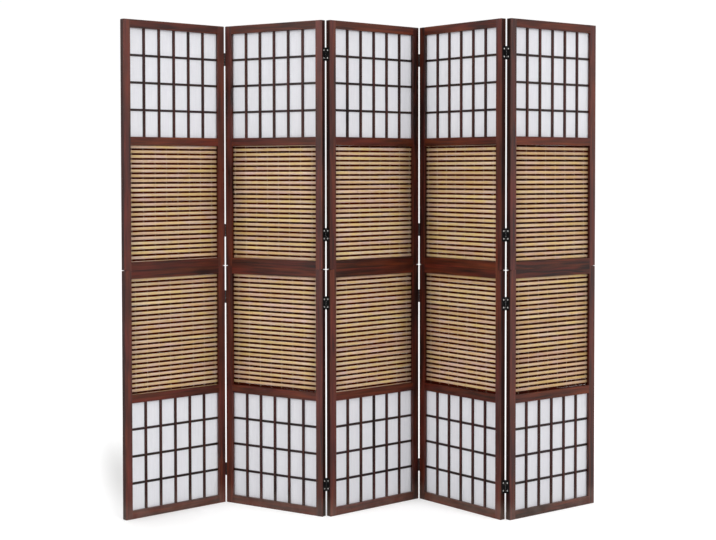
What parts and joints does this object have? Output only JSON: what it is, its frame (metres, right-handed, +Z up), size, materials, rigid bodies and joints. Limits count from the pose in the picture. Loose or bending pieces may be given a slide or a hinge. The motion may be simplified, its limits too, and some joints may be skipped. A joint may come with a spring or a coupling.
{
  "type": "folding screen",
  "caption": "Free-standing folding room divider: dark wood panels in a zigzag, with paper lattice windows above and below woven slat fields, hinged edge to edge.",
  "frame": {"origin": "on the floor, at the middle of the footprint's bounding box with the screen standing in the pictured zigzag", "axes": "+Z up, +X along the screen from its left end to its right end as seen from the front, -Y towards the viewer in front"},
  "size_m": [1.7398, 0.3606, 1.8],
  "materials": {
    "frame_wood": "dark red-brown stain under satin lacquer",
    "lattice_wood": "dark red-brown stain under satin lacquer",
    "dowel_wood": "bare beech",
    "paper": "matt white fibrous paper",
    "bamboo": "natural split bamboo, satin skin",
    "dark_sticks": "dark maroon stain, satin",
    "thread": "twisted cotton",
    "hinge_metal": "black burnished steel",
    "pin_metal": "dark steel",
    "screw_metal": "bright zinc plate"
  },
  "bodies": {
    "panel_1": {"panel_1_stiles": "frame_wood", "panel_1_rails": "frame_wood", "panel_1_seam_dowels": "dowel_wood", "panel_1_lattice_uprights": "lattice_wood", "panel_1_lattice_crossbars": "lattice_wood", "panel_1_papers": "paper", "panel_1_slats": "bamboo", "panel_1_sticks": "dark_sticks", "panel_1_mat_threads": "thread", "panel_1_hinge_leaves": "hinge_metal", "panel_1_hinge_screws": "screw_metal", "fold_1_hinge_pins": "pin_metal"},
    "panel_2": {"panel_2_stiles": "frame_wood", "panel_2_rails": "frame_wood", "panel_2_seam_dowels": "dowel_wood", "panel_2_lattice_uprights": "lattice_wood", "panel_2_lattice_crossbars": "lattice_wood", "panel_2_papers": "paper", "panel_2_slats": "bamboo", "panel_2_sticks": "dark_sticks", "panel_2_mat_threads": "thread", "panel_2_hinge_leaves": "hinge_metal", "panel_2_hinge_screws": "screw_metal", "fold_2_hinge_pins": "pin_metal"},
    "panel_3": {"panel_3_stiles": "frame_wood", "panel_3_rails": "frame_wood", "panel_3_seam_dowels": "dowel_wood", "panel_3_lattice_uprights": "lattice_wood", "panel_3_lattice_crossbars": "lattice_wood", "panel_3_papers": "paper", "panel_3_slats": "bamboo", "panel_3_sticks": "dark_sticks", "panel_3_mat_threads": "thread", "panel_3_hinge_leaves": "hinge_metal", "panel_3_hinge_screws": "screw_metal", "fold_3_hinge_pins": "pin_metal"},
    "panel_4": {"panel_4_stiles": "frame_wood", "panel_4_rails": "frame_wood", "panel_4_seam_dowels": "dowel_wood", "panel_4_lattice_uprights": "lattice_wood", "panel_4_lattice_crossbars": "lattice_wood", "panel_4_papers": "paper", "panel_4_slats": "bamboo", "panel_4_sticks": "dark_sticks", "panel_4_mat_threads": "thread", "panel_4_hinge_leaves": "hinge_metal", "panel_4_hinge_screws": "screw_metal", "fold_4_hinge_pins": "pin_metal"},
    "panel_5": {"panel_5_stiles": "frame_wood", "panel_5_rails": "frame_wood", "panel_5_seam_dowels": "dowel_wood", "panel_5_lattice_uprights": "lattice_wood", "panel_5_lattice_crossbars": "lattice_wood", "panel_5_papers": "paper", "panel_5_slats": "bamboo", "panel_5_sticks": "dark_sticks", "panel_5_mat_threads": "thread", "panel_5_hinge_leaves": "hinge_metal", "panel_5_hinge_screws": "screw_metal"}
  },
  "joints": [
    {"name": "fold_1", "type": "hinge", "parent": "panel_2", "child": "panel_1", "pos_m": [-0.52376, 0.11057, 0.9], "axis": [0, 0, 1], "range_deg": [-74, 106]},
    {"name": "fold_2", "type": "hinge", "parent": "panel_3", "child": "panel_2", "pos_m": [-0.1381, -0.10945, 0.9], "axis": [0, 0, -1], "range_deg": [-73.9, 102.1]},
    {"name": "fold_3", "type": "hinge", "parent": "panel_3", "child": "panel_4", "pos_m": [0.2108, 0.16515, 0.9], "axis": [0, 0, -1], "range_deg": [-92.1, 83.9]},
    {"name": "fold_4", "type": "hinge", "parent": "panel_4", "child": "panel_5", "pos_m": [0.50845, -0.16431, 0.9], "axis": [0, 0, 1], "range_deg": [-88.9, 91.1]}
  ]
}
